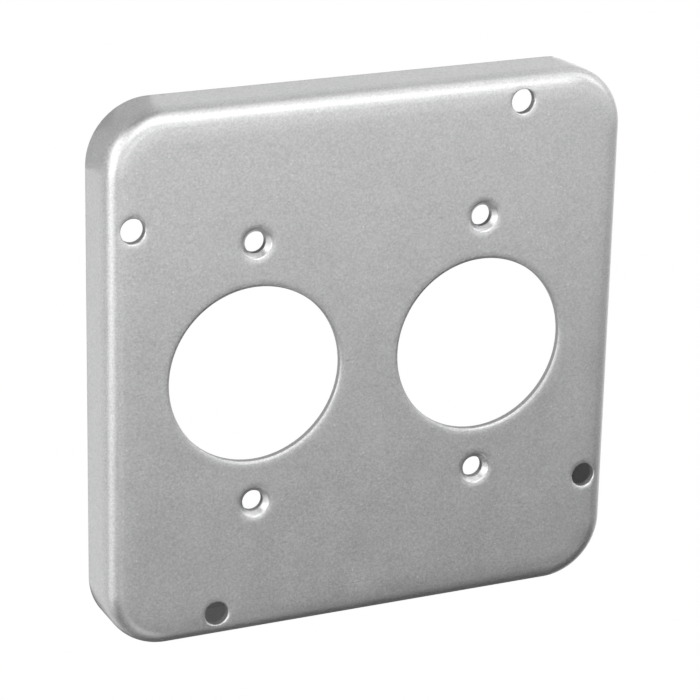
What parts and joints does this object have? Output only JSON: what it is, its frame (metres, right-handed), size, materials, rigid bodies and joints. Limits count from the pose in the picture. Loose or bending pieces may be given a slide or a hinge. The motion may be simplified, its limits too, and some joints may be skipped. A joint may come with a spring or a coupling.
{
  "type": "rectangular cover plate",
  "caption": "Raised square steel cover for a surface-mounted electrical box, with round receptacle openings, dimpled device-screw holes and plain cover-screw holes.",
  "frame": {"origin": "middle of the plane that the rim lies on", "axes": "+Z out of the face, +X from one round opening to the other, +Y along the line from an opening to its upper device screw"},
  "size_m": [0.1238, 0.1238, 0.0127],
  "materials": {
    "galvanised_steel": "hot-dip galvanised sheet steel, satin, finely mottled"
  },
  "bodies": {
    "root": {"cover_plate": "galvanised_steel"}
  },
  "joints": []
}
